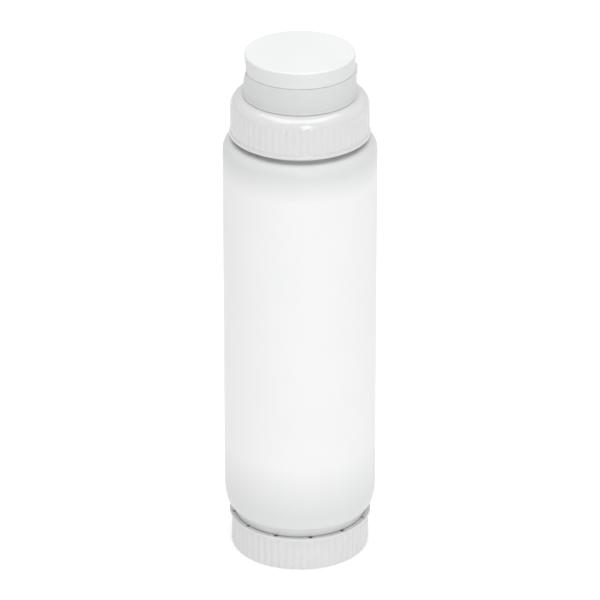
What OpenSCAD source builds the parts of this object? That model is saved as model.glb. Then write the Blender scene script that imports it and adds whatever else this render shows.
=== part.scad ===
// Squeeze bottle for sauces, open at both ends: a screw cap at the foot for
// refilling and a screw cap with a slit valve and a hinged flip lid at the head.
// Millimetres, Z up, origin at the centre of the foot.

/* [Bottle] */
// Outside diameter of the bottle's body
body_d = 70; // [66:1:84]
// Height of the body between its two shoulders
body_h = 184.4; // [90:0.2:260]
// Thickness of the blown wall
wall = 1.2; // [0.8:0.1:2]
// How far down from the head's shoulder the body's side begins to curve in
head_ease_h = 7; // [6.4:0.1:12]
// Radius of that easy curve
head_ease_r = 24; // [20:1:40]
// Rounding of the corner at the head's shoulder
head_round = 5; // [2.4:0.1:5.4]
// How far up from the foot's shoulder the body's side begins to curve in
foot_ease_h = 10.1; // [7:0.1:12]
// Radius of that easy curve
foot_ease_r = 28.4; // [24:0.2:40]
// Rounding of the corner at the foot's shoulder
foot_round = 1.9; // [1.6:0.1:4]
// Height of the plain ring between the foot's shoulder and the refill cap
foot_root_h = 4.4; // [2:0.1:6]

/* [Necks] */
// Outside diameter of a neck, at the root of its thread
neck_d = 55.2; // [50:0.2:58]
// Thickness of a neck's wall
neck_wall = 1.6; // [1.2:0.1:2.4]
// How far the neck root stands out from the neck
root_step = 2.9; // [2:0.1:3.4]
// Pitch of the thread
pitch = 4.2; // [4:0.1:5]
// Height of the thread's ridge
ridge_h = 1.3; // [0.8:0.1:1.5]
// Turns of thread on a neck
neck_turns = 1.25; // [1:0.05:1.5]
// Turns of thread inside a cap
cap_turns = 1; // [0.8:0.05:1.1]

/* [Caps] */
// Radial clearance between a cap's thread and its neck
thread_gap = 0.3; // [0.2:0.05:0.4]
// Height of a cap's rim
rim_h = 1.9; // [1.2:0.1:3]
// Thickness of a gasket
gasket_t = 2; // [1:0.1:3]

/* [Refill cap] */
// Height of the refill cap
refill_h = 16.6; // [16:0.1:24]
// Thickness of the refill cap's side, grip flutes included
refill_wall = 2.8; // [2.2:0.1:3]
// How far the refill cap's rim stands out from its side
refill_rim_out = 0.8; // [0.3:0.1:1.2]
// Gap between the refill cap's rim and the plain ring
refill_gap = 0.3; // [0.3:0.05:0.8]
// Thickness of the refill cap's plate
refill_plate = 2; // [1.5:0.1:3]
// Number of grip flutes round the refill cap
refill_flutes = 56; // [36:1:60]
// Depth of a grip flute
flute_depth = 0.5; // [0.3:0.05:0.7]
// Number of small notches round the top of the refill cap's rim
rim_notches = 12; // [6:1:18]

/* [Dispensing cap] */
// Height of the dispensing cap's side and plate
collar_h = 18.8; // [18.4:0.1:26]
// Thickness of the dispensing cap's side, grip flutes included
collar_wall = 2.3; // [2.2:0.1:3]
// How far the dispensing cap's rim stands out from its side
collar_rim_out = 0.4; // [0.3:0.1:1.2]
// Gap between the dispensing cap's rim and the bottle's shoulder
collar_gap = 2.5; // [0.3:0.1:4]
// Thickness of the dispensing cap's plate
collar_plate = 2.15; // [1.6:0.05:3]
// Rounding between the dispensing cap's side and plate
collar_round = 5.6; // [3:0.1:5.8]
// Number of grip flutes round the dispensing cap
collar_flutes = 60; // [40:1:66]
// Outside diameter of the boss that holds the valve
boss_d = 39; // [34:0.5:40]
// Thickness of the boss's side
boss_wall = 1.8; // [1.4:0.1:2.2]
// Thickness of the lip that the valve seats under
boss_lip_t = 1.6; // [1.2:0.1:2.2]

/* [Valve] */
// Diameter of the valve's head
valve_head_d = 22.4; // [18:0.2:23]
// Thickness of the valve's flange
valve_flange_t = 2.3; // [1.6:0.1:3]
// How far the valve's head stands over the boss
valve_rise = 1.2; // [0.6:0.1:1.6]
// Depth of the hollow in the valve's head
valve_dish = 1; // [0.5:0.1:1.2]
// Length of each of the two crossed slits
slit_len = 9; // [5:0.5:12]
// Height of the ring that holds the valve in its seat
retainer_h = 3.6; // [2.5:0.1:4]

/* [Flip lid] */
// Diameter of the flip base where it sits on the dispensing cap
base_foot_d = 51.1; // [50.7:0.1:51.3]
// How much narrower the flip base is at its top
base_draft = 0.5; // [0:0.1:0.8]
// Height of the flip base
base_h = 12.4; // [11.2:0.1:14]
// Gap between the top of the boss and the flip base's deck
boss_gap = 0.4; // [0.3:0.1:0.8]
// Thickness of the flip base's side and of the lid's side
flip_wall = 1.5; // [1.2:0.1:1.8]
// How much narrower the lid is than the flip base's foot
lid_step = 1.2; // [0.8:0.1:1.4]
// Height of the lid
lid_h = 7.5; // [6:0.1:12]
// Rounding of the lid's upper edge
lid_round = 0.9; // [0.4:0.1:1.4]
// Thickness of the lid's top
lid_top_t = 1.5; // [1.2:0.1:2]
// Gap between the lid and the flip base when closed
lid_gap = 0.2; // [0.1:0.05:0.4]
// Width of the hinge's film
hinge_w = 13; // [10:0.5:15]
// Thickness of the hinge's film
hinge_t = 0.4; // [0.3:0.05:0.5]
// Height that the film spans, across the gap
hinge_span = 2.6; // [2:0.1:3.4]
// How far the hinge line lies inside the lid's side
hinge_inset = 0.95; // [0.9:0.05:1.3]
// Width of the lift tab
tab_w = 7; // [5:0.5:12]
// How far the lift tab stands out from the lid's side
tab_out = 0.9; // [0.4:0.1:1.2]
// How far the lift tab hangs below the lid's lower edge
tab_drop = 1.8; // [1:0.1:2.4]

/* [Hidden] */

// Smooth circles and arcs, and the overlap that joins one shape to the next
$fn = 96;
arc_steps = 8;
weld = 0.5;
// Running gap between pieces that sit in one another
fit_gap = 0.1;
// Height of a small snap bead or lip, and how far it stands out
bead_h = 0.8;
bead_out = 0.25;

// Radii
body_r = body_d / 2;
neck_r = neck_d / 2;
bore_r = neck_r - neck_wall;
root_r = neck_r + root_step;
crest_r = neck_r + ridge_h;
cap_in_r = crest_r + thread_gap;
refill_r = cap_in_r + refill_wall;
collar_r = cap_in_r + collar_wall;
boss_r = boss_d / 2;
boss_in_r = boss_r - boss_wall;
mouth_r = valve_head_d / 2 + 1;
base_foot_r = base_foot_d / 2;
base_top_r = base_foot_r - base_draft / 2;
sleeve_in_r = boss_r + 0.2;
sleeve_wall = 1.4;
lid_r = base_foot_r - lid_step / 2;
lid_in_r = lid_r - flip_wall;
upstand_r = lid_in_r - 0.5;
upstand_wall = 0.9;
upstand_h = 1.5;
plug_r = mouth_r + 0.5;
deck_hole_r = plug_r + 0.5;

// Heights, from the foot upwards
foot_gasket_z = refill_plate;
foot_end_z = refill_plate + gasket_t;
foot_root_z = refill_h + refill_gap;
body_z = foot_root_z + foot_root_h;
body_top_z = body_z + body_h;
collar_z = body_top_z + collar_gap;
collar_top_z = collar_z + collar_h;
plate_z = collar_top_z - collar_plate;
head_end_z = plate_z - gasket_t;
base_z = collar_top_z + fit_gap;
seam_z = base_z + base_h;
deck_t = 1.5;
deck_z = seam_z - deck_t;
boss_top_z = deck_z - boss_gap;
seat_z = boss_top_z - boss_lip_t;
lid_z = seam_z + lid_gap;
lid_top_z = lid_z + lid_h;

// Hinge line, level with the seam, and the flat that the film lies on
hinge_x = -(lid_r - hinge_inset);
hinge_z = seam_z + lid_gap / 2;
flat_x = hinge_x + hinge_t / 2 + 0.05;
pad_in_x = flat_x + 1.75;
pad_w = hinge_w + 2;

// Thread: widths of a ridge at its root and crest, and its place on the neck
ridge_root_w = 2.2;
ridge_crest_w = 1.1;
thread_end = 2.4;
thread_fade = 30;
thread_step = 10;

// Travel of a cap that is screwed right off, for the joints
unscrew_turns = neck_turns;
echo(unscrew_deg = unscrew_turns * 360, unscrew_mm = unscrew_turns * pitch);
echo(body_top_z = body_top_z, collar_z = collar_z, collar_top_z = collar_top_z, seam_z = seam_z);
echo(lid_top_z = lid_top_z, hinge_x = hinge_x, hinge_z = hinge_z, boss_top_z = boss_top_z);

// A ring between two radii
module ring(r_out, r_in, z, h) {
    translate([0, 0, z])
        difference() {
            cylinder(r = r_out, h = h);
            translate([0, 0, -weld]) cylinder(r = r_in, h = h + 2 * weld);
        }
}

// Points along an arc between two angles
function arc(x, y, r, from, to) = [for (i = [0:arc_steps])
    let (a = from + (to - from) * i / arc_steps) [x + r * cos(a), y + r * sin(a)]];

// Half profile of one end of the body, from the axis along y = 0 and up to where
// the side is straight: a round corner that runs into an easy curve
function end_points(r, h, ease_r, round_r) =
    let (
        reach = ease_r - round_r,
        lean = asin((h - round_r) / reach),
        round_x = r - ease_r + reach * cos(lean)
    )
    concat([[0, 0]], arc(round_x, round_r, round_r, -90, -lean), arc(r - ease_r, h, ease_r, -lean, 0));

// The body as a round solid, made smaller all over by an inset
module body_round(inset) {
    r = body_r - inset;
    foot = end_points(r, foot_ease_h - inset, foot_ease_r - inset, foot_round - inset);
    head = end_points(r, head_ease_h - inset, head_ease_r - inset, head_round - inset);
    last = len(head) - 1;
    rotate_extrude()
        polygon(concat(
            [for (p = foot) [p[0], body_z + inset + p[1]]],
            [for (i = [0:last]) [head[last - i][0], body_top_z - inset - head[last - i][1]]]
        ));
}

// A round solid with a straight side, rounded only at its upper edge
module drum_round_top(r, z, h, high) {
    rotate_extrude()
        translate([0, z]) {
            square([r, h - high]);
            square([r - high, h]);
            intersection() {
                translate([r - high, h - high]) circle(r = high);
                square([r, h]);
            }
        }
}

// How far a thread's ridge has risen at an angle along it: it fades in and out
function ridge_share(a, length) = min(1, a / thread_fade, (length - a) / thread_fade);

// One section of a ridge. The radius from, inside the wall, is where it is rooted
function ridge_section(a, from, root, crest, length) =
    let (
        share = max(0.02, ridge_share(a, length)),
        top = root + (crest - root) * share,
        half_root = ridge_root_w / 2,
        half_crest = half_root + (ridge_crest_w / 2 - half_root) * share,
        z = pitch * a / 360
    )
    [for (p = [[from, -half_root], [top, -half_crest], [top, half_crest], [from, half_root]])
        [p[0] * cos(a), p[0] * sin(a), z + p[1]]];

// A thread's ridge, rising anticlockwise from z = 0 at angle 0. It stands outwards
// where crest is over root, and inwards where it is under
module thread_ridge(root, crest, turns) {
    length = turns * 360;
    steps = round(length / thread_step);
    inward = crest < root;
    from = inward ? root + weld : root - weld;
    sections = [for (i = [0:steps]) ridge_section(i * length / steps, from, root, crest, length)];
    points = [for (s = sections) for (p = s) p];
    sides = [for (i = [0:steps - 1]) for (k = [0:3]) for (t = [0, 1])
        let (a = 4 * i + k, b = 4 * i + (k + 1) % 4, c = b + 4, d = a + 4)
        t == 0 ? [a, c, d] : [a, b, c]];
    last = 4 * steps;
    ends = [[0, 2, 1], [0, 3, 2], [last, last + 1, last + 2], [last, last + 2, last + 3]];
    faces = concat(sides, ends);
    polyhedron(points = points, faces = inward ? [for (f = faces) [f[2], f[1], f[0]]] : faces);
}

// Places what stands on a neck that ends at z: upright at the head, turned over at the foot
module at_head(z) {
    translate([0, 0, z]) children();
}
module at_foot(z) {
    translate([0, 0, z]) rotate([180, 0, 0]) children();
}

// Thread of a neck, measured down from the neck's end
module neck_thread() {
    translate([0, 0, -thread_end - neck_turns * pitch]) thread_ridge(neck_r, crest_r, neck_turns);
}

// Thread of a cap, half a pitch behind the neck's
module cap_thread() {
    turn = (neck_turns - cap_turns) * 180;
    rise = turn / 360 * pitch;
    translate([0, 0, -thread_end - neck_turns * pitch - pitch / 2 + rise])
        rotate([0, 0, turn]) thread_ridge(cap_in_r, neck_r + thread_gap, cap_turns);
}

// Grip flutes, cut out of a cap's side by upright round bars
module flute_bars(count, r, z, h) {
    bar_r = PI * r / count * 0.92;
    for (i = [0:count - 1])
        rotate([0, 0, (i + 0.5) * 360 / count])
            translate([r + bar_r - flute_depth, 0, z]) cylinder(r = bar_r, h = h, $fn = 32);
}

// Outside of the bottle: body, plain ring and necks
module bottle_outside() {
    body_round(0);
    translate([0, 0, foot_root_z]) cylinder(r = root_r, h = foot_root_h + foot_round);
    translate([0, 0, foot_end_z]) cylinder(r = neck_r, h = body_z - foot_end_z);
    translate([0, 0, body_top_z - wall / 2]) cylinder(r = neck_r, h = head_end_z - body_top_z + wall / 2);
}

// Inside of the bottle, from mouth to mouth
module bottle_inside() {
    body_round(wall);
    translate([0, 0, foot_root_z + neck_wall])
        cylinder(r = root_r - neck_wall, h = foot_root_h + 2 * wall - neck_wall);
    translate([0, 0, foot_end_z - weld]) cylinder(r = bore_r, h = head_end_z - foot_end_z + 2 * weld);
}

module bottle_body() {
    color("whitesmoke") {
        difference() {
            union() {
                bottle_outside();
                at_head(head_end_z) neck_thread();
                at_foot(foot_end_z) neck_thread();
            }
            bottle_inside();
        }
    }
}

// Shell of a cap of radius r with its plate at the top, rising from z = 0 to h
module cap_shell(r, rim_out, h, plate, high, count) {
    difference() {
        union() {
            difference() {
                drum_round_top(r, 0, h, high);
                flute_bars(count, r, rim_h, h);
            }
            cylinder(r = r + rim_out, h = rim_h - bead_h);
            translate([0, 0, rim_h - bead_h]) cylinder(r1 = r + rim_out, r2 = r - flute_depth, h = bead_h);
        }
        translate([0, 0, -weld]) cylinder(r = cap_in_r, h = h - plate + weld);
    }
}

// Refill cap, drawn with its plate up and then turned over
module refill_cap() {
    notch_w = 1.8;
    notch_in = 0.9;
    notch_depth = 0.9;
    first_turn = 9;
    color("gainsboro")
        difference() {
            union() {
                at_foot(refill_h)
                    difference() {
                        cap_shell(refill_r, refill_rim_out, refill_h, refill_plate, bead_h, refill_flutes);
                        // Bevel inside the rim, which leads the neck root in
                        translate([0, 0, -weld / 2])
                            cylinder(r1 = root_r + fit_gap + weld / 2, r2 = cap_in_r, h = bead_h + weld);
                    }
                at_foot(foot_end_z) cap_thread();
            }
            for (i = [0:rim_notches - 1])
                rotate([0, 0, first_turn + i * 360 / rim_notches])
                    translate([cap_in_r, -notch_w / 2, refill_h - notch_depth])
                        cube([root_r + notch_in - cap_in_r, notch_w, notch_depth + weld]);
        }
}

module refill_cap_gasket() {
    color("silver") ring(neck_r + ridge_h - fit_gap, bore_r, foot_gasket_z, gasket_t);
}

// Boss that holds the valve: open below, with a lip inwards at the top
module boss() {
    ring(boss_r, boss_in_r, plate_z, boss_top_z - plate_z);
    ring(boss_r, mouth_r, seat_z, boss_lip_t);
    // Beads: outside for the flip base, inside for the valve's retainer
    ring(boss_r + bead_out, boss_in_r, collar_top_z + 2, bead_h);
    ring(boss_r, boss_in_r - bead_out, retainer_z() - bead_h - fit_gap, bead_h);
}

function flange_z() = seat_z - valve_flange_t;
function retainer_z() = flange_z() - retainer_h;

module dispensing_cap() {
    color("white") {
        difference() {
            translate([0, 0, collar_z])
                cap_shell(collar_r, collar_rim_out, collar_h, collar_plate, collar_round, collar_flutes);
            translate([0, 0, plate_z - weld]) cylinder(r = boss_in_r, h = collar_plate + 2 * weld);
        }
        at_head(head_end_z) cap_thread();
        boss();
    }
}

module dispensing_cap_gasket() {
    color("silver") ring(neck_r + ridge_h - fit_gap, bore_r, head_end_z, gasket_t);
}

// Slit valve: a flange under the boss's lip and a dished head that stands through it
module silicone_valve() {
    head_r = valve_head_d / 2;
    head_top_z = boss_top_z + valve_rise;
    dish_r = (head_r * head_r + valve_dish * valve_dish) / (2 * valve_dish);
    head_t = 1.4;
    slit_w = 0.25;
    color("ghostwhite")
        difference() {
            union() {
                translate([0, 0, flange_z()]) cylinder(r = boss_in_r - fit_gap, h = valve_flange_t);
                translate([0, 0, flange_z()]) cylinder(r = head_r, h = head_top_z - flange_z());
            }
            // Dished outer face
            translate([0, 0, head_top_z - valve_dish + dish_r]) sphere(r = dish_r, $fn = 180);
            // Hollow behind the head
            translate([0, 0, flange_z() - weld])
                cylinder(r = head_r - 1.2, h = head_top_z - valve_dish - head_t - flange_z() + weld);
            for (a = [0, 90])
                rotate([0, 0, a])
                    translate([-slit_len / 2, -slit_w / 2, flange_z()])
                        cube([slit_len, slit_w, head_top_z - flange_z()]);
        }
}

// Ring pressed in behind the valve, with notches for prising it out
module valve_retainer() {
    pry_notches = 4;
    notch_w = 3;
    retainer_wall = 4;
    color("white")
        difference() {
            ring(boss_in_r - fit_gap, boss_in_r - retainer_wall, retainer_z(), retainer_h);
            for (i = [0:pry_notches - 1])
                rotate([0, 0, (i + 0.5) * 360 / pry_notches])
                    translate([boss_in_r - retainer_wall - weld, -notch_w / 2, retainer_z() - weld])
                        cube([retainer_wall / 2 + weld, notch_w, retainer_h / 2 + weld]);
        }
}

// Block that backs a flat inside the flip base or lid. The side is -1 at the
// hinge and 1 at the lift tab
module backing(side, z, h) {
    x = side < 0 ? flat_x - weld : -pad_in_x;
    translate([x, -pad_w / 2, z]) cube([pad_in_x - flat_x + weld, pad_w, h]);
}

// Cut across the flip base and lid on the hinge side: flat at the seam, then
// sloping out to the full width at both ends
module hinge_relief() {
    flat_low_z = seam_z - 2.8;
    flat_high_z = lid_z + hinge_span / 2;
    low_z = seam_z - 7.2;
    high_z = lid_top_z - 1.4;
    out_x = base_foot_r + 1;
    translate([0, out_x, 0]) rotate([90, 0, 0]) linear_extrude(height = 2 * out_x)
        polygon([[-out_x, low_z], [-base_foot_r, low_z], [flat_x, flat_low_z], [flat_x, flat_high_z],
                 [-lid_r, high_z], [-out_x, high_z]]);
}

// Room for the lift tab in the flip base, with a scoop below it for a fingertip
module tab_room() {
    scoop_r = 4;
    room_x = lid_r - 1.2;
    room_z = lid_z - tab_drop - lid_gap;
    translate([room_x, -tab_w / 2 - 0.3, room_z]) cube([4, tab_w + 0.6, seam_z - room_z + weld]);
    translate([base_top_r + scoop_r - 1, 0, room_z]) rotate([90, 0, 0])
        cylinder(r = scoop_r, h = tab_w + 0.6, center = true);
}

module flip_base() {
    stiffener_t = 1;
    stiffeners = 8;
    backing_h = 6;
    groove_z = collar_top_z + 2 - fit_gap;
    color("white")
        difference() {
            union() {
                difference() {
                    union() {
                        translate([0, 0, base_z]) cylinder(r = base_foot_r + bead_out, h = bead_h);
                        translate([0, 0, base_z]) cylinder(r1 = base_foot_r, r2 = base_top_r, h = base_h);
                    }
                    // Hollow under the deck
                    translate([0, 0, base_z - weld])
                        cylinder(r = base_top_r - flip_wall, h = base_h - deck_t + weld);
                }
                backing(-1, seam_z - backing_h, backing_h - weld);
                backing(1, seam_z - backing_h, backing_h - weld);
                // Sleeve that grips the boss
                ring(sleeve_in_r + sleeve_wall, sleeve_in_r, base_z, base_h - weld);
                // Ring that the lid shuts over, open at the hinge
                difference() {
                    ring(upstand_r, upstand_r - upstand_wall, deck_z, deck_t + upstand_h);
                    translate([-lid_r, -pad_w / 2 - 1, seam_z]) cube([lid_r / 2, pad_w + 2, upstand_h + weld]);
                }
                for (i = [0:stiffeners - 1])
                    rotate([0, 0, (i + 0.5) * 360 / stiffeners])
                        translate([sleeve_in_r + sleeve_wall / 2, -stiffener_t / 2, base_z + 1.5])
                            cube([base_top_r - sleeve_in_r - sleeve_wall, stiffener_t, base_h - 2]);
            }
            hinge_relief();
            tab_room();
            // Hole for the valve's head
            translate([0, 0, deck_z - weld]) cylinder(r = deck_hole_r, h = deck_t + upstand_h + 2 * weld);
            // Groove for the boss's bead
            translate([0, 0, groove_z]) cylinder(r = boss_r + bead_out + fit_gap, h = bead_h + 2 * fit_gap);
        }
}

// Lip at the lid's lower edge, opposite the hinge, for a fingertip
module lift_tab() {
    tab_in_x = lid_r - 0.9;
    intersection() {
        translate([0, 0, lid_z - tab_drop]) cylinder(r = lid_r + tab_out, h = tab_drop + 0.8);
        translate([tab_in_x, -tab_w / 2, lid_z - tab_drop]) cube([2 + tab_out, tab_w, tab_drop + 0.8]);
    }
}

module flip_lid() {
    plug_wall = 0.9;
    plug_z = boss_top_z + 0.3;
    catch_r = 2.2;
    color("white")
        difference() {
            union() {
                difference() {
                    union() {
                        drum_round_top(lid_r, lid_z, lid_h, lid_round);
                        translate([0, 0, lid_z]) cylinder(r = lid_r + bead_out / 2, h = bead_h);
                    }
                    translate([0, 0, lid_z - weld]) cylinder(r = lid_in_r, h = lid_h - lid_top_t + weld);
                }
                backing(-1, lid_z, lid_h - lid_top_t + weld);
                lift_tab();
                // Plug that seals round the valve's head
                ring(plug_r, plug_r - plug_wall, plug_z, lid_top_z - lid_top_t - plug_z + weld);
                // Catch bead inside the side
                ring(lid_in_r + weld, lid_in_r - bead_out, lid_z + upstand_h - bead_h / 2, bead_h);
            }
            hinge_relief();
            // Hollow over the lift tab
            translate([lid_r + catch_r - 0.6, 0, lid_z + 0.8 + catch_r]) rotate([90, 0, 0])
                cylinder(r = catch_r, h = tab_w, center = true);
        }
}

// Film that joins the lid to the flip base and bends when the lid turns
module living_hinge() {
    color("white")
        translate([hinge_x - hinge_t / 2, -hinge_w / 2, hinge_z - hinge_span / 2])
            cube([hinge_t, hinge_w, hinge_span]);
}

bottle_body();
refill_cap();
refill_cap_gasket();
dispensing_cap();
dispensing_cap_gasket();
silicone_valve();
valve_retainer();
flip_base();
flip_lid();
living_hinge();
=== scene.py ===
"""A squeeze bottle for sauces: frosted body, fluted screw caps at both ends, and a hinged flip lid."""

import math

import bmesh
import bpy
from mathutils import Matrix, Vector


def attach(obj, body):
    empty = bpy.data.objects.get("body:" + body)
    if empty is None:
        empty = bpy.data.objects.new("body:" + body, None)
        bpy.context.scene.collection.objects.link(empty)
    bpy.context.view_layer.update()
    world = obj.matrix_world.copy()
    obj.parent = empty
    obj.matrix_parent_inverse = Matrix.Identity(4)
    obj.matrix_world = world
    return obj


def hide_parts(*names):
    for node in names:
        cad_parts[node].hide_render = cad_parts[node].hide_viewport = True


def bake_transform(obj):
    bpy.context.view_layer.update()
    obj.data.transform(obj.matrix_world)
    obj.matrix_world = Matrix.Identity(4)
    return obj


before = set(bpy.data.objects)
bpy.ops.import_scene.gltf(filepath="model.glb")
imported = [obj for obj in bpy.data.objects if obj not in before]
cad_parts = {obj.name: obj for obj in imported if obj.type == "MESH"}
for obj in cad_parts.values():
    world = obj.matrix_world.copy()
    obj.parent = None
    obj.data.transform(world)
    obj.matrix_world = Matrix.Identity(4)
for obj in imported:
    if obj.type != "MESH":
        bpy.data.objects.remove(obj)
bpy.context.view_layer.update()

MM = 0.001

# Bottle: real sizes in millimetres, as the part's source has them
BODY_R = 35.0
BODY_H = 184.4
WALL = 1.2
RING_R = 30.5
RING_H = 4.4
NECK_R = 27.6
BORE_R = 26.0
GASKET_T = 2.0
FOOT_EASE_H = 10.1
FOOT_EASE_R = 28.4
FOOT_ROUND = 1.9
HEAD_EASE_H = 7.0
HEAD_EASE_R = 24.0
HEAD_ROUND = 5.0

# Threads of both necks and both caps
CREST_R = 28.9
CAP_CREST_R = 27.9
PITCH = 4.2
NECK_TURNS = 1.25
CAP_TURNS = 1.0
THREAD_END = 2.4
FOOT_TURN = -90.0

# Both caps
CAP_IN_R = 29.2
RIM_H = 1.9
RIM_SIDE_H = 1.1
RIM_DIP = 0.2
FLUTE_START = 1.7
FLUTE_STEPS = 12

# Refill cap
REFILL_R = 32.0
REFILL_RIM_R = 32.8
REFILL_H = 16.6
REFILL_GAP = 0.3
REFILL_PLATE = 2.0
REFILL_FLUTES = 56
REFILL_FLUTE_DEPTH = 0.5
RIM_NOTCHES = 12

# Dispensing cap, with the boss that holds the valve
COLLAR_R = 31.5
COLLAR_RIM_R = 31.9
COLLAR_H = 18.8
COLLAR_GAP = 2.5
COLLAR_PLATE = 2.15
COLLAR_ROUND = 5.6
COLLAR_FLUTES = 60
COLLAR_FLUTE_DEPTH = 0.3
BOSS_R = 19.5
BOSS_IN_R = 17.7
BOSS_LIP_T = 1.6
BOSS_GAP = 0.4
MOUTH_R = 12.2

# Flip base, lid and the film between them
FLIP_FOOT_R = 25.55
FLIP_TOP_R = 25.3
FLIP_H = 12.4
FLIP_WALL = 1.5
DECK_T = 1.5
STIFFENERS = 8
LID_R = 24.95
LID_H = 7.5
LID_T = 1.5
LID_ROUND = 0.9
PLUG_R = 12.7
TAB_W = 7.0
TAB_OUT = 0.9
TAB_DROP = 1.8
HINGE_W = 13.0
HINGE_INSET = 0.95
FILM_T = 0.4

# Heights, from the foot upwards. Two gaps are finer than in the source, as the eye sees them
FOOT_NECK_Z = REFILL_PLATE + GASKET_T
RING_Z = REFILL_H + 0.02
BODY_Z = REFILL_H + REFILL_GAP + RING_H
BODY_TOP_Z = BODY_Z + BODY_H
COLLAR_Z = BODY_TOP_Z + COLLAR_GAP
COLLAR_TOP_Z = COLLAR_Z + COLLAR_H
PLATE_Z = COLLAR_TOP_Z - COLLAR_PLATE
HEAD_NECK_Z = PLATE_Z - GASKET_T
FLIP_Z = COLLAR_TOP_Z + 0.1
SEAM_Z = FLIP_Z + FLIP_H
BOSS_TOP_Z = SEAM_Z - DECK_T - BOSS_GAP
LID_EDGE_Z = SEAM_Z + 0.1
LID_Z = SEAM_Z + 0.2
LID_TOP_Z = LID_Z + LID_H

# The hinge line, and the flat beside it that the film lies on
HINGE_X = -(LID_R - HINGE_INSET)
HINGE_Z = SEAM_Z + 0.1
FLAT_X = HINGE_X + FILM_T / 2 + 0.05

# The photograph's view: a long lens, looking down on the bottle's middle
VIEW_DISTANCE = 2.3
VIEW_TILT = 26.0
VIEW_LENS = 301.2
VIEW_TARGET = (0.0, 0.0, LID_TOP_Z / 2 * MM)


# Meshes

SMOOTH_ANGLE = 32.0
CORNER_ANGLE = 25.0
THREAD_STEPS = 96


def arc(x, z, radius, start, end, steps=10):
    """Points along an arc between two angles, in degrees."""
    angles = [math.radians(start + (end - start) * i / steps) for i in range(steps + 1)]
    return [(x + radius * math.cos(a), z + radius * math.sin(a)) for a in angles]


def soften(loop, radius, steps=3):
    """A closed profile with every real corner rounded, apart from those on the axis."""
    out = []
    for i, (x, z) in enumerate(loop):
        here = Vector((x, z))
        back = Vector(loop[i - 1]) - here
        ahead = Vector(loop[(i + 1) % len(loop)]) - here
        if x < 1e-6 or back.length < 1e-6 or ahead.length < 1e-6:
            out.append((x, z))
            continue
        turn = math.pi - back.angle(ahead)
        if turn < math.radians(CORNER_ANGLE):
            out.append((x, z))
            continue
        cut = min(radius, 0.45 * back.length, 0.45 * ahead.length)
        a = here + back.normalized() * cut
        b = here + ahead.normalized() * cut
        for k in range(steps + 1):
            t = k / steps
            p = a * (1 - t) ** 2 + here * (2 * t * (1 - t)) + b * t**2
            out.append((p.x, p.y))
    return out


def finish_mesh(obj, sharp=SMOOTH_ANGLE):
    """Outward normals, and smooth shading that keeps the real edges."""
    bm = bmesh.new()
    bm.from_mesh(obj.data)
    bmesh.ops.remove_doubles(bm, verts=bm.verts, dist=1e-7)
    bmesh.ops.recalc_face_normals(bm, faces=bm.faces)
    bm.to_mesh(obj.data)
    bm.free()
    obj.data.shade_smooth()
    obj.data.set_sharp_from_angle(angle=math.radians(sharp))
    return obj


def make_object(name, verts, faces):
    mesh = bpy.data.meshes.new(name)
    mesh.from_pydata([tuple(c * MM for c in v) for v in verts], [], faces)
    mesh.update()
    obj = bpy.data.objects.new(name, mesh)
    bpy.context.scene.collection.objects.link(obj)
    return obj


def turned(name, loop, segments=240):
    """Turns a closed profile of (radius, height) round the axis."""
    verts, rings = [], []
    for r, z in loop:
        if r < 1e-6:
            rings.append([len(verts)] * segments)
            verts.append((0.0, 0.0, z))
        else:
            rings.append(list(range(len(verts), len(verts) + segments)))
            for k in range(segments):
                a = 2 * math.pi * k / segments
                verts.append((r * math.cos(a), r * math.sin(a), z))
    faces = []
    for i, ring in enumerate(rings):
        above = rings[(i + 1) % len(rings)]
        for k in range(segments):
            n = (k + 1) % segments
            corners = [ring[k], ring[n], above[n], above[k]]
            face = [c for j, c in enumerate(corners) if c != corners[j - 1]]
            if len(face) >= 3:
                faces.append(face)
    return finish_mesh(make_object(name, verts, faces))


def block(name, low, high):
    """A box between two corners."""
    verts = [(x, y, z) for x in (low[0], high[0]) for y in (low[1], high[1]) for z in (low[2], high[2])]
    faces = [(0, 1, 3, 2), (4, 6, 7, 5), (0, 4, 5, 1), (2, 3, 7, 6), (0, 2, 6, 4), (1, 5, 7, 3)]
    return finish_mesh(make_object(name, verts, faces))


def bar_across(name, outline, half_width):
    """A prism along Y whose section is an outline of (x, z)."""
    n = len(outline)
    verts = [(x, y, z) for y in (-half_width, half_width) for x, z in outline]
    faces = [tuple(range(n)), tuple(range(2 * n - 1, n - 1, -1))]
    faces += [(i, i + n, (i + 1) % n + n, (i + 1) % n) for i in range(n)]
    return finish_mesh(make_object(name, verts, faces))


def thread(name, root, crest, start_z, turns, start_angle=0.0):
    """A right-handed thread's ridge that rises from start_z, and fades in and out at its ends."""
    steps = round(turns * THREAD_STEPS)
    sink = 0.5 if crest < root else -0.5
    lower_flank = [(0.0, -1.1), (0.7, -0.85), (0.93, -0.62), (1.0, -0.4)]
    section = lower_flank + [(rise, -dz) for rise, dz in reversed(lower_flank)]
    fade = 30
    verts, faces = [], []
    for i in range(steps + 1):
        run = turns * 360 * i / steps
        share = max(0.02, min(1.0, run / fade, (turns * 360 - run) / fade))
        a = math.radians(start_angle + run)
        z = start_z + PITCH * run / 360
        for rise, dz in section:
            r = root + sink if rise == 0 else root + (crest - root) * rise * share
            verts.append((r * math.cos(a), r * math.sin(a), z + dz * (0.6 + 0.4 * share)))
    k = len(section)
    for i in range(steps):
        for j in range(k):
            a, b = i * k + j, i * k + (j + 1) % k
            faces.append((a, b, b + k, a + k))
    faces += [tuple(range(k)), tuple(range(steps * k + k - 1, steps * k - 1, -1))]
    return finish_mesh(make_object(name, verts, faces), sharp=45)


def settle(obj):
    """Turns an object's modifiers into its plain mesh."""
    graph = bpy.context.evaluated_depsgraph_get()
    mesh = bpy.data.meshes.new_from_object(obj.evaluated_get(graph))
    obj.modifiers.clear()
    obj.data = mesh
    return obj


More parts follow.
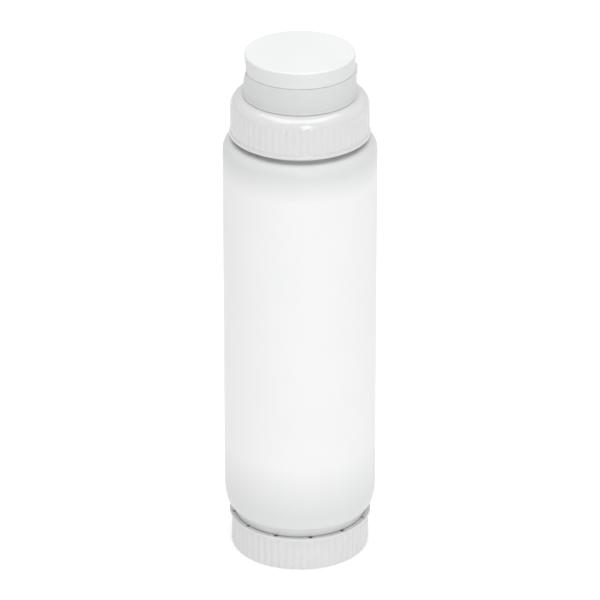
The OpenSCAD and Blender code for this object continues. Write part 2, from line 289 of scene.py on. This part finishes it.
def cut_and_join(obj, adds=(), cuts=()):
    """Joins solids on to a piece, and then cuts others out of it."""
    tools = [(tool, "UNION") for tool in adds] + [(tool, "DIFFERENCE") for tool in cuts]
    for tool, operation in tools:
        step = obj.modifiers.new(operation.lower(), "BOOLEAN")
        step.solver = "EXACT"
        step.operation = operation
        step.object = tool
    settle(obj)
    for tool, _ in tools:
        bpy.data.objects.remove(tool)
    finish_mesh(obj)
    even = obj.modifiers.new("even shading", "WEIGHTED_NORMAL")
    even.keep_sharp = True
    return settle(obj)


def joined(obj, others):
    """Puts other meshes into an object, as they are."""
    bm = bmesh.new()
    bm.from_mesh(obj.data)
    for other in others:
        bm.from_mesh(other.data)
        bpy.data.objects.remove(other)
    bm.to_mesh(obj.data)
    bm.free()
    obj.data.shade_smooth()
    obj.data.set_sharp_from_angle(angle=math.radians(SMOOTH_ANGLE))
    return obj


# Geometry Nodes


class Tree:
    """A node tree in the making: adds nodes, and joins sockets to them."""

    def __init__(self, tree):
        self.tree = tree

    def node(self, kind, inputs=(), **settings):
        node = self.tree.nodes.new(kind)
        for key, value in settings.items():
            setattr(node, key, value)
        for key, value in dict(inputs).items():
            socket = node.inputs[key]
            if isinstance(value, bpy.types.NodeSocket):
                self.tree.links.new(value, socket)
            else:
                socket.default_value = value
        return node

    def math(self, operation, *values, **settings):
        inputs = dict(enumerate(values))
        return self.node("ShaderNodeMath", inputs, operation=operation, **settings).outputs[0]

    def ramp(self, value, start, length):
        """Rises from 0 to 1 over a length from a start."""
        return self.math("DIVIDE", self.math("SUBTRACT", value, start), length, use_clamp=True)

    def noise(self, place, scale, detail):
        inputs = {"Vector": place, "Scale": scale, "Detail": detail}
        return self.node("ShaderNodeTexNoise", inputs).outputs["Fac"]


def new_tree(name, kind, inputs, outputs):
    tree = bpy.data.node_groups.new(name, kind)
    for direction, sockets in (("INPUT", inputs), ("OUTPUT", outputs)):
        for label, socket_type, default in sockets:
            socket = tree.interface.new_socket(label, in_out=direction, socket_type=socket_type)
            if default is not None:
                socket.default_value = default
    source = tree.nodes.new("NodeGroupInput")
    sink = tree.nodes.new("NodeGroupOutput")
    return Tree(tree), source.outputs, sink.inputs


def flute_tree():
    """Presses straight grip flutes into the outside of a turned cap, over a range of heights."""
    t, given, result = new_tree(
        "Grip flutes",
        "GeometryNodeTree",
        [
            ("Geometry", "NodeSocketGeometry", None),
            ("Count", "NodeSocketInt", 60),
            ("Radius", "NodeSocketFloat", 0.03),
            ("Depth", "NodeSocketFloat", 0.0005),
            ("Narrowness", "NodeSocketFloat", 1.0),
            ("Low", "NodeSocketFloat", 0.0),
            ("High", "NodeSocketFloat", 0.02),
            ("Ramp", "NodeSocketFloat", 0.0003),
            ("Material", "NodeSocketMaterial", None),
        ],
        [("Geometry", "NodeSocketGeometry", None)],
    )
    place = t.node("ShaderNodeSeparateXYZ", {0: t.node("GeometryNodeInputPosition").outputs[0]}).outputs
    x, y, z = place["X"], place["Y"], place["Z"]
    radius = t.math("SQRT", t.math("ADD", t.math("MULTIPLY", x, x), t.math("MULTIPLY", y, y)))
    turn = t.math("MULTIPLY", t.math("ARCTAN2", y, x), given["Count"])
    wave = t.math("MULTIPLY_ADD", t.math("COSINE", turn), 0.5, 0.5)
    groove = t.math("MULTIPLY", t.math("POWER", wave, given["Narrowness"]), given["Depth"])
    pressed = t.math("MINIMUM", radius, t.math("SUBTRACT", given["Radius"], groove))
    over = t.ramp(z, given["Low"], given["Ramp"])
    under = t.ramp(given["High"], z, given["Ramp"])
    share = t.math("MULTIPLY", over, under)
    moved = t.math("MULTIPLY_ADD", t.math("SUBTRACT", pressed, radius), share, radius)
    scale = t.math("DIVIDE", moved, t.math("MAXIMUM", radius, 1e-6))
    spot = t.node(
        "ShaderNodeCombineXYZ",
        {"X": t.math("MULTIPLY", x, scale), "Y": t.math("MULTIPLY", y, scale), "Z": z},
    ).outputs[0]
    shaped = t.node("GeometryNodeSetPosition", {"Geometry": given["Geometry"], "Position": spot}).outputs[0]
    real = t.node("GeometryNodeRealizeInstances", {"Geometry": shaped}).outputs[0]
    painted = t.node("GeometryNodeSetMaterial", {"Geometry": real, "Material": given["Material"]}).outputs[0]
    t.tree.links.new(painted, result["Geometry"])
    return t.tree


def copies_tree():
    """Copies a piece evenly round the bottle's axis."""
    t, given, result = new_tree(
        "Copies round the axis",
        "GeometryNodeTree",
        [
            ("Geometry", "NodeSocketGeometry", None),
            ("Count", "NodeSocketInt", 12),
            ("First angle", "NodeSocketFloat", 0.0),
            ("Material", "NodeSocketMaterial", None),
        ],
        [("Geometry", "NodeSocketGeometry", None)],
    )
    spots = t.node("GeometryNodeMeshLine", {"Count": given["Count"], "Offset": (0, 0, 0)}).outputs[0]
    step = t.math("DIVIDE", 2 * math.pi, given["Count"])
    index = t.node("GeometryNodeInputIndex").outputs[0]
    angle = t.math("MULTIPLY_ADD", index, step, given["First angle"])
    euler = t.node("ShaderNodeCombineXYZ", {"Z": angle}).outputs[0]
    turn = t.node("FunctionNodeEulerToRotation", {0: euler}).outputs[0]
    copies = t.node(
        "GeometryNodeInstanceOnPoints", {"Points": spots, "Instance": given["Geometry"], "Rotation": turn}
    ).outputs[0]
    real = t.node("GeometryNodeRealizeInstances", {"Geometry": copies}).outputs[0]
    painted = t.node("GeometryNodeSetMaterial", {"Geometry": real, "Material": given["Material"]}).outputs[0]
    t.tree.links.new(painted, result["Geometry"])
    return t.tree


def grown(obj, tree, values):
    """Runs a tree on an object with named values, and keeps the result as a plain mesh."""
    step = obj.modifiers.new(tree.name, "NODES")
    step.node_group = tree
    for socket in tree.interface.items_tree:
        if socket.in_out == "INPUT" and socket.name in values:
            step[socket.identifier] = values[socket.name]
    return settle(obj)


# Materials


def skin_group():
    """The fine grain and slow waviness of a moulded skin, as heights, and a roughness that goes with them."""
    t, given, result = new_tree(
        "Moulded skin",
        "ShaderNodeTree",
        [
            ("Grain size", "NodeSocketFloat", 0.0004),
            ("Wave size", "NodeSocketFloat", 0.02),
            ("Roughness", "NodeSocketFloat", 0.35),
            ("Spread", "NodeSocketFloat", 0.06),
        ],
        [
            ("Grain", "NodeSocketFloat", None),
            ("Wave", "NodeSocketFloat", None),
            ("Roughness", "NodeSocketFloat", None),
        ],
    )
    place = t.node("ShaderNodeTexCoord").outputs["Object"]
    grain_scale = t.math("DIVIDE", 1.0, given["Grain size"])
    wave_scale = t.math("DIVIDE", 1.0, given["Wave size"])
    grain = t.noise(place, grain_scale, 2.0)
    wave = t.noise(place, wave_scale, 3.0)
    centred = t.math("SUBTRACT", wave, 0.5)
    rough = t.math("MULTIPLY_ADD", centred, given["Spread"], given["Roughness"])
    t.tree.links.new(grain, result["Grain"])
    t.tree.links.new(wave, result["Wave"])
    t.tree.links.new(rough, result["Roughness"])
    return t.tree


def blown_group():
    """What blow moulding leaves: soft streaks down the side and a hairline at the parting; the third output
    is a mask of painted shade over both ends.
    """
    t, given, result = new_tree(
        "Blown wall",
        "ShaderNodeTree",
        [
            ("Streak width", "NodeSocketFloat", 0.006),
            ("Hairline", "NodeSocketFloat", 0.0003),
            ("Foot height", "NodeSocketFloat", 0.03),
            ("Head height", "NodeSocketFloat", 0.2),
            ("Foot blend", "NodeSocketFloat", 0.02),
            ("Head blend", "NodeSocketFloat", 0.01),
        ],
        [
            ("Streaks", "NodeSocketFloat", None),
            ("Parting line", "NodeSocketFloat", None),
            ("Painted end shade", "NodeSocketFloat", None),
        ],
    )
    place = t.node("ShaderNodeTexCoord").outputs["Object"]
    stretched = t.node("ShaderNodeMapping", {"Vector": place, "Scale": (1, 1, 0.06)}).outputs[0]
    scale = t.math("DIVIDE", 1.0, given["Streak width"])
    streaks = t.noise(stretched, scale, 2.0)
    spot = t.node("ShaderNodeSeparateXYZ", {0: place}).outputs
    near = t.math("DIVIDE", t.math("ABSOLUTE", spot["Y"]), given["Hairline"], use_clamp=True)
    # The mask of the painted shade: rises towards the foot and towards the head.
    below = t.ramp(given["Foot height"], spot["Z"], given["Foot blend"])
    above = t.ramp(spot["Z"], given["Head height"], given["Head blend"])
    ends = t.math("MAXIMUM", below, above)
    t.tree.links.new(streaks, result["Streaks"])
    t.tree.links.new(t.math("SUBTRACT", 1.0, near), result["Parting line"])
    t.tree.links.new(ends, result["Painted end shade"])
    return t.tree


SKIN = skin_group()
BLOWN = blown_group()


def plastic(name, dark, light, roughness, spread, grain_size, grain_depth, wave_size, wave_depth, **shader):
    """A moulded plastic: colour drifting between two tones, with grain and waviness in its skin."""
    material = bpy.data.materials.new(name)
    material.use_nodes = True
    t = Tree(material.node_tree)
    t.tree.nodes.clear()
    sizes = {"Grain size": grain_size, "Wave size": wave_size, "Roughness": roughness, "Spread": spread}
    skin = t.node("ShaderNodeGroup", node_tree=SKIN)
    for label, value in sizes.items():
        skin.inputs[label].default_value = value
    tone = t.node("ShaderNodeMix", {0: skin.outputs["Wave"]}, data_type="RGBA")
    tone.inputs[6].default_value = (*dark, 1)
    tone.inputs[7].default_value = (*light, 1)
    wave = t.node("ShaderNodeBump", {"Height": skin.outputs["Wave"], "Distance": wave_depth, "Strength": 1.0})
    grain = t.node(
        "ShaderNodeBump",
        {
            "Height": skin.outputs["Grain"],
            "Distance": grain_depth,
            "Strength": 1.0,
            "Normal": wave.outputs[0],
        },
    )
    surface = t.node(
        "ShaderNodeBsdfPrincipled",
        {
            "Base Color": tone.outputs[2],
            "Roughness": skin.outputs["Roughness"],
            "Normal": grain.outputs[0],
            **shader,
        },
    )
    t.node("ShaderNodeOutputMaterial", {"Surface": surface.outputs[0]})
    return material, t, surface


def frosted_bottle():
    """Natural low-density polyethylene, blown thin: milky and satin, with painted shade darkening it towards
    both ends.
    """
    material, t, surface = plastic(
        "frosted bottle plastic",
        dark=(0.81, 0.815, 0.815),
        light=(0.85, 0.85, 0.85),
        roughness=0.42,
        spread=0.08,
        grain_size=0.0005,
        grain_depth=0.00001,
        wave_size=0.03,
        wave_depth=0.0004,
        **{
            "IOR": 1.51,
            "Subsurface Weight": 0.3,
            "Subsurface Radius": (0.001, 0.001, 0.001),
            "Subsurface Scale": 1.0,
        },
    )
    wall = t.node("ShaderNodeGroup", node_tree=BLOWN)
    for label, value in {
        "Streak width": 0.007,
        "Hairline": 0.00035,
        "Foot height": 0.054,
        "Foot blend": 0.026,
        "Head height": 0.188,
        "Head blend": 0.012,
    }.items():
        wall.inputs[label].default_value = value
    end_shade = t.node("ShaderNodeMix", {0: wall.outputs["Painted end shade"]}, data_type="RGBA")
    t.tree.links.new(surface.inputs["Base Color"].links[0].from_socket, end_shade.inputs[6])
    # Painted shade: the base colour darkens to this grey over both ends of the body.
    end_shade.inputs[7].default_value = (0.69, 0.695, 0.695, 1)
    t.tree.links.new(end_shade.outputs[2], surface.inputs["Base Color"])
    line = t.node(
        "ShaderNodeBump",
        {
            "Height": wall.outputs["Parting line"],
            "Distance": 0.00008,
            "Strength": 1.0,
            "Normal": surface.inputs["Normal"].links[0].from_socket,
        },
    )
    streaks = t.node(
        "ShaderNodeBump",
        {"Height": wall.outputs["Streaks"], "Distance": 0.00012, "Strength": 1.0, "Normal": line.outputs[0]},
    )
    t.tree.links.new(streaks.outputs[0], surface.inputs["Normal"])
    return material


def white_satin(name, tone):
    """White polypropylene with a fine spark-eroded grain, as on the flip lid and its base."""
    return plastic(
        name,
        dark=(0.74 * tone, 0.745 * tone, 0.75 * tone),
        light=(0.78 * tone, 0.785 * tone, 0.785 * tone),
        roughness=0.42,
        spread=0.06,
        grain_size=0.0003,
        grain_depth=0.000006,
        wave_size=0.02,
        wave_depth=0.00004,
        **{"Subsurface Weight": 0.2, "Subsurface Radius": (0.001, 0.001, 0.001), "Subsurface Scale": 1.0},
    )[0]


def white_gloss():
    """White polypropylene with a bright polished skin, as on the dispensing cap."""
    return plastic(
        "white glossy plastic",
        dark=(0.66, 0.665, 0.665),
        light=(0.70, 0.70, 0.70),
        roughness=0.2,
        spread=0.05,
        grain_size=0.0006,
        grain_depth=0.000002,
        wave_size=0.012,
        wave_depth=0.00004,
        **{
            "Specular IOR Level": 0.8,
            "Subsurface Weight": 0.3,
            "Subsurface Radius": (0.0015, 0.0015, 0.0015),
            "Subsurface Scale": 1.0,
        },
    )[0]


def natural_plastic():
    """Uncoloured polypropylene of the refill cap: slightly milky, with a little light spread inside."""
    return plastic(
        "natural milky plastic",
        dark=(0.69, 0.695, 0.695),
        light=(0.73, 0.73, 0.73),
        roughness=0.25,
        spread=0.05,
        grain_size=0.0005,
        grain_depth=0.000002,
        wave_size=0.01,
        wave_depth=0.00003,
        **{"Subsurface Weight": 0.15, "Subsurface Radius": (0.0008, 0.0008, 0.0008), "Subsurface Scale": 1.0},
    )[0]


def clear_silicone():
    """Moulded silicone of the slit valve, cloudy and soft looking."""
    return plastic(
        "cloudy silicone",
        dark=(0.80, 0.81, 0.80),
        light=(0.86, 0.87, 0.86),
        roughness=0.5,
        spread=0.1,
        grain_size=0.0004,
        grain_depth=0.000008,
        wave_size=0.006,
        wave_depth=0.00003,
        **{"Subsurface Weight": 0.8, "Subsurface Radius": (0.003, 0.003, 0.003), "Subsurface Scale": 1.0},
    )[0]


def foam_gasket():
    """Foamed polyethylene of the gaskets, matt with fine cells."""
    return plastic(
        "foamed gasket plastic",
        dark=(0.74, 0.74, 0.73),
        light=(0.82, 0.82, 0.81),
        roughness=0.7,
        spread=0.1,
        grain_size=0.00025,
        grain_depth=0.00004,
        wave_size=0.004,
        wave_depth=0.00004,
    )[0]


def paint(obj, material):
    obj.data.materials.clear()
    obj.data.materials.append(material)
    return obj


# Pieces


def shoulder(r, ease_h, ease_r, round_r):
    """Half profile of one end of the body above z = 0: a tight corner that runs into an easy curve."""
    reach = ease_r - round_r
    lean = math.degrees(math.asin((ease_h - round_r) / reach))
    round_x = r - ease_r + reach * math.cos(math.radians(lean))
    tight = arc(round_x, round_r, round_r, -90, -lean, 12)
    return tight + arc(r - ease_r, ease_h, ease_r, -lean, 0, 12)[1:]


def body_side(inset):
    """The body's side from its foot to its head, made smaller all over by an inset."""
    r = BODY_R - inset
    rings = 12
    foot = shoulder(r, FOOT_EASE_H - inset, FOOT_EASE_R - inset, FOOT_ROUND - inset)
    head = shoulder(r, HEAD_EASE_H - inset, HEAD_EASE_R - inset, HEAD_ROUND - inset)
    low = [(x, BODY_Z + inset + z) for x, z in foot]
    high = [(x, BODY_TOP_Z - inset - z) for x, z in reversed(head)]
    low_z, high_z = low[-1][1], high[0][1]
    straight = [(r, low_z + (high_z - low_z) * i / rings) for i in range(1, rings)]
    return low + straight + high


def make_bottle(material):
    edge = 0.3
    ring_wall = 1.6
    ring_in_r = RING_R - ring_wall
    outside = [(BORE_R, FOOT_NECK_Z), (NECK_R, FOOT_NECK_Z), (NECK_R, RING_Z)]
    outside += [(RING_R, RING_Z), (RING_R, BODY_Z)]
    outside += body_side(0)
    outside += [(NECK_R, BODY_TOP_Z), (NECK_R, HEAD_NECK_Z), (BORE_R, HEAD_NECK_Z)]
    inside = [(BORE_R, BODY_TOP_Z - WALL)] + body_side(WALL)[::-1]
    inside += [(ring_in_r, BODY_Z + WALL), (ring_in_r, RING_Z + ring_wall), (BORE_R, RING_Z + ring_wall)]
    bottle = turned("bottle_shell", soften(outside + inside, edge), 256)
    head_start_z = HEAD_NECK_Z - THREAD_END - NECK_TURNS * PITCH
    head_thread = thread("head_thread", NECK_R, CREST_R, head_start_z, NECK_TURNS)
    foot_thread = thread("foot_thread", NECK_R, CREST_R, FOOT_NECK_Z + THREAD_END, NECK_TURNS, FOOT_TURN)
    joined(bottle, [head_thread, foot_thread])
    return paint(bottle, material)


def cap_thread(name, neck_start_z, half_pitch, neck_start_angle=0.0):
    """A cap's thread, half a pitch above or below its neck's, and evenly short of both of its ends."""
    lag = (NECK_TURNS - CAP_TURNS) * 180
    start_z = neck_start_z + half_pitch + PITCH * lag / 360
    return thread(name, CAP_IN_R, CAP_CREST_R, start_z, CAP_TURNS, neck_start_angle + lag)


def make_refill_cap(material, flutes, copies):
    edge = 0.22
    foot_round = 0.8
    bevel_h = 0.8
    side_r = REFILL_R - RIM_DIP
    loop = [(0, 0)]
    loop += arc(REFILL_R - foot_round, foot_round, foot_round, -90, 0, 6)
    loop += [(side_r, REFILL_H - RIM_H), (REFILL_RIM_R, REFILL_H - RIM_SIDE_H), (REFILL_RIM_R, REFILL_H)]
    loop += [(RING_R + 0.05, REFILL_H), (CAP_IN_R, REFILL_H - bevel_h), (CAP_IN_R, REFILL_PLATE)]
    loop += [(0, REFILL_PLATE)]
    cap = turned("refill_cap_shell", soften(loop, edge), REFILL_FLUTES * FLUTE_STEPS)
    notch_half = 0.9
    notch_depth = 0.9
    notch_out = RING_R + 1.15
    notch_low = (CAP_IN_R, -notch_half, REFILL_H - notch_depth)
    notch = block("notch", notch_low, (notch_out, notch_half, REFILL_H + 0.5))
    first_notch = math.radians(-81.0)
    grown(notch, copies, {"Count": RIM_NOTCHES, "First angle": first_notch, "Material": material})
    cut_and_join(cap, cuts=[notch])
    grown(
        cap,
        flutes,
        {
            "Count": REFILL_FLUTES,
            "Radius": REFILL_R * MM,
            "Depth": REFILL_FLUTE_DEPTH * MM,
            "Narrowness": 1.3,
            "Low": -1 * MM,
            "High": (REFILL_H - FLUTE_START) * MM,
            "Ramp": 0.2 * MM,
            "Material": material,
        },
    )
    inner = cap_thread("refill_thread", FOOT_NECK_Z + THREAD_END, PITCH / 2, FOOT_TURN)
    joined(cap, [inner])
    return paint(cap, material)


def make_dispensing_cap(material, flutes):
    edge = 0.2
    side_z = COLLAR_TOP_Z - COLLAR_ROUND
    lip_z = BOSS_TOP_Z - BOSS_LIP_T
    loop = [(CAP_IN_R, COLLAR_Z), (COLLAR_RIM_R, COLLAR_Z), (COLLAR_RIM_R, COLLAR_Z + RIM_SIDE_H)]
    loop += [(COLLAR_R - RIM_DIP, COLLAR_Z + RIM_H), (COLLAR_R, COLLAR_Z + RIM_H + 0.5)]
    loop += arc(COLLAR_R - COLLAR_ROUND, side_z, COLLAR_ROUND, 0, 90, 22)
    loop += [(BOSS_R, COLLAR_TOP_Z), (BOSS_R, BOSS_TOP_Z), (MOUTH_R, BOSS_TOP_Z), (MOUTH_R, lip_z)]
    loop += [(BOSS_IN_R, lip_z), (BOSS_IN_R, PLATE_Z), (CAP_IN_R, PLATE_Z)]
    cap = turned("dispensing_cap_shell", soften(loop, edge), COLLAR_FLUTES * FLUTE_STEPS)
    grown(
        cap,
        flutes,
        {
            "Count": COLLAR_FLUTES,
            "Radius": COLLAR_R * MM,
            "Depth": COLLAR_FLUTE_DEPTH * MM,
            "Narrowness": 1.2,
            "Low": (COLLAR_Z + FLUTE_START) * MM,
            "High": COLLAR_TOP_Z * MM,
            "Ramp": 0.3 * MM,
            "Material": material,
        },
    )
    inner = cap_thread("cap_thread", HEAD_NECK_Z - THREAD_END - NECK_TURNS * PITCH, -PITCH / 2)
    joined(cap, [inner])
    return paint(cap, material)


def hinge_relief(name):
    """The cut on the hinge side of the flip base and the lid: flat at the seam, sloping out both ways."""
    low_z = SEAM_Z - 7.2
    flat_low_z = SEAM_Z - 2.8
    flat_high_z = LID_Z + 1.3
    high_z = LID_TOP_Z - 1.4
    out_x = FLIP_FOOT_R + 1
    outline = [(-out_x, low_z), (-FLIP_FOOT_R, low_z), (FLAT_X, flat_low_z)]
    outline += [(FLAT_X, flat_high_z), (-LID_R, high_z), (-out_x, high_z)]
    return bar_across(name, outline, out_x)


def backing(name, side, low_z, high_z):
    """A thicker wall behind the hinge's flat, on side -1, or behind the lift tab, on side 1."""
    half_w = 7.5
    near, far = -FLAT_X - 1.75, -FLAT_X + 0.5
    low_x, high_x = (near, far) if side > 0 else (-far, -near)
    return block(name, (low_x, -half_w, low_z), (high_x, half_w, high_z))


def round_bar(name, x, z, radius, half_width):
    return bar_across(name, arc(x, z, radius, 0, 354, 59), half_width)


def make_flip_base(material, copies):
    edge = 0.2
    bead_out, bead_h = 0.3, 0.7
    upstand_out, upstand_in, upstand_h = 22.95, 22.05, 1.5
    sleeve_out, sleeve_in = 21.1, 19.7
    hole_r = PLUG_R + 0.5
    hollow_r = FLIP_TOP_R - FLIP_WALL
    bead_r = FLIP_FOOT_R + bead_out
    deck_z = SEAM_Z - DECK_T
    upstand_z = SEAM_Z + upstand_h
    loop = [(hollow_r, FLIP_Z), (bead_r, FLIP_Z), (bead_r, FLIP_Z + bead_h)]
    loop += [(FLIP_FOOT_R - 0.02, FLIP_Z + bead_h + 0.3), (FLIP_TOP_R, SEAM_Z)]
    loop += [(upstand_out, SEAM_Z), (upstand_out, upstand_z), (upstand_in, upstand_z), (upstand_in, SEAM_Z)]
    loop += [(hole_r, SEAM_Z), (hole_r, deck_z), (sleeve_in, deck_z), (sleeve_in, FLIP_Z)]
    loop += [(sleeve_out, FLIP_Z), (sleeve_out, deck_z), (hollow_r, deck_z)]
    base = turned("flip_base_shell", soften(loop, edge), 240)

    web_half = 0.5
    web_low = (sleeve_out - 0.5, -web_half, FLIP_Z + 1.5)
    web = block("web", web_low, (hollow_r + 0.4, web_half, SEAM_Z - 1.0))
    grown(web, copies, {"Count": STIFFENERS, "First angle": math.pi / STIFFENERS, "Material": material})
    hinge_back = backing("hinge_back", -1, SEAM_Z - 6, SEAM_Z - 0.5)
    tab_back = backing("tab_back", 1, SEAM_Z - 6, SEAM_Z - 0.5)

    gap_half = 8.5
    gap = block("gap", (-LID_R, -gap_half, SEAM_Z), (-LID_R / 2, gap_half, SEAM_Z + 2))
    room_half = TAB_W / 2 + 0.3
    room_x = LID_R - 1.2
    room_z = LID_Z - TAB_DROP - 0.2
    room = block("room", (room_x, -room_half, room_z), (room_x + 4, room_half, SEAM_Z + 0.5))
    scoop = round_bar("scoop", FLIP_TOP_R + 3, room_z, 4.0, room_half)
    cut_and_join(base, adds=[web, hinge_back, tab_back], cuts=[gap, hinge_relief("relief"), room, scoop])
    return paint(base, material)


def make_flip_lid(material):
    edge = 0.15
    in_r = LID_R - FLIP_WALL
    bead_r = LID_R + 0.12
    snap_r = in_r - 0.25
    under_z = LID_TOP_Z - LID_T
    plug_z = BOSS_TOP_Z + 0.3
    plug_in_r = PLUG_R - 0.9
    loop = [(0, LID_TOP_Z)] + arc(LID_R - LID_ROUND, LID_TOP_Z - LID_ROUND, LID_ROUND, 90, 0, 8)
    loop += [(LID_R, LID_Z + 1.0), (bead_r, LID_Z + 0.8), (bead_r, LID_EDGE_Z), (in_r, LID_EDGE_Z)]
    loop += [(in_r, LID_Z + 1.1), (snap_r, LID_Z + 1.4), (in_r, LID_Z + 1.9), (in_r, under_z)]
    loop += [(PLUG_R, under_z), (PLUG_R, plug_z), (plug_in_r, plug_z), (plug_in_r, under_z), (0, under_z)]
    lid = turned("flip_lid_shell", soften(loop, edge), 240)
    hinge_back = backing("hinge_back", -1, LID_Z + 0.001, LID_TOP_Z - 1.0)

    tab_h = 2.6
    tab_half = TAB_W / 2
    root = LID_R - 0.9
    tip = LID_R + TAB_OUT
    low = LID_Z - TAB_DROP
    high = low + tab_h
    tab_outline = [(root, low), (tip - 0.3, low), (tip, low + 0.3), (tip, high - 0.7)]
    tab_outline += [(tip - 0.7, high), (root, high)]
    tab = bar_across("tab", tab_outline, tab_half)
    catch = round_bar("catch", LID_R + 1.2, LID_Z + 3.3, 2.2, tab_half)
    cut_and_join(lid, adds=[hinge_back, tab], cuts=[hinge_relief("relief"), catch])
    return paint(lid, material)


def make_hinge_film(material):
    """The film between the lid and its base: thin in the middle, thicker where it is fixed."""
    half = 1.3
    thin, thick = 0.12, FILM_T / 2
    rows = 24
    outline = []
    for side in (-1, 1):
        for i in range(rows + 1):
            z = -half + 2 * half * i / rows
            waist = thin + (thick - thin) * min(1.0, (abs(z) / (0.6 * half)) ** 2)
            outline.append((HINGE_X + side * waist, HINGE_Z + z * -side))
    film = bar_across("hinge_film", outline, HINGE_W / 2)
    return paint(film, material)


# Put together

bottle_plastic = frosted_bottle()
satin = white_satin("white satin plastic", 0.94)
# The base is the lid's satin plastic; its darker tone is painted shade.
shaded_base_satin = white_satin("white satin plastic with painted shade", 0.86)
gloss = white_gloss()
natural = natural_plastic()
silicone = clear_silicone()
foam = foam_gasket()

flutes = flute_tree()
copies = copies_tree()

bottle = make_bottle(bottle_plastic)
refill_cap = make_refill_cap(natural, flutes, copies)
dispensing_cap = make_dispensing_cap(gloss, flutes)
flip_base = make_flip_base(shaded_base_satin, copies)
flip_lid = make_flip_lid(satin)
hinge_film = make_hinge_film(satin)

for piece, body, node, slot in (
    (bottle, "bottle", "bottle_body", "bottle"),
    (refill_cap, "refill", "refill_cap", "refill_cap"),
    (dispensing_cap, "head", "dispensing_cap", "head_cap"),
    (flip_base, "head", "flip_base", "flip_cap"),
    (flip_lid, "lid", "flip_lid", "flip_cap"),
):
    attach(piece, body)
    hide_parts(node)

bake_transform(hinge_film)
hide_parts("living_hinge")

for node, material in (
    ("refill_cap_gasket", foam),
    ("dispensing_cap_gasket", foam),
    ("silicone_valve", silicone),
    ("valve_retainer", gloss),
):
    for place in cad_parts[node].material_slots:
        place.material = material


# Stage, light and camera


def make_floor():
    """A pale floor that glows a little, as a light table does."""
    half = 6000
    corners = [(-half, -half, 0), (half, -half, 0), (half, half, 0), (-half, half, 0)]
    floor = make_object("floor", corners, [(0, 1, 2, 3)])
    material = bpy.data.materials.new("pale floor")
    material.use_nodes = True
    surface = material.node_tree.nodes["Principled BSDF"]
    surface.inputs["Base Color"].default_value = (0.7, 0.7, 0.7, 1)
    surface.inputs["Roughness"].default_value = 0.9
    surface.inputs["Specular IOR Level"].default_value = 0.1
    surface.inputs["Emission Color"].default_value = (1, 1, 1, 1)
    surface.inputs["Emission Strength"].default_value = 0.38
    paint(floor, material)


def aim(obj, target):
    obj.rotation_euler = (Vector(target) - obj.location).to_track_quat("-Z", "Y").to_euler()


def softbox(name, place, target, width, height, power):
    data = bpy.data.lights.new(name, "AREA")
    data.shape = "RECTANGLE"
    data.size = width
    data.size_y = height
    data.energy = power
    light = bpy.data.objects.new(name, data)
    bpy.context.scene.collection.objects.link(light)
    light.location = place
    aim(light, target)


make_floor()
softbox("overhead softbox", (0.0, 0.05, 1.5), (0, 0, 0.1), 1.4, 1.4, 15.6)
softbox("front softbox", (0.3, -1.5, 0.75), VIEW_TARGET, 0.4, 1.2, 6.6)

world = bpy.data.worlds.new("studio")
world.use_nodes = True
sky = world.node_tree.nodes["Background"]
sky.inputs["Color"].default_value = (1, 1, 1, 1)
sky.inputs["Strength"].default_value = 0.53
bpy.context.scene.world = world
bpy.context.scene.view_settings.view_transform = "Standard"

camera_data = bpy.data.cameras.new("camera")
camera_data.lens = VIEW_LENS
camera_data.sensor_width = 36.0
camera_data.clip_end = 50.0
camera = bpy.data.objects.new("camera", camera_data)
bpy.context.scene.collection.objects.link(camera)
tilt = math.radians(VIEW_TILT)
camera.location = Vector(VIEW_TARGET) + VIEW_DISTANCE * Vector((0, -math.cos(tilt), math.sin(tilt)))
aim(camera, VIEW_TARGET)
bpy.context.scene.camera = camera
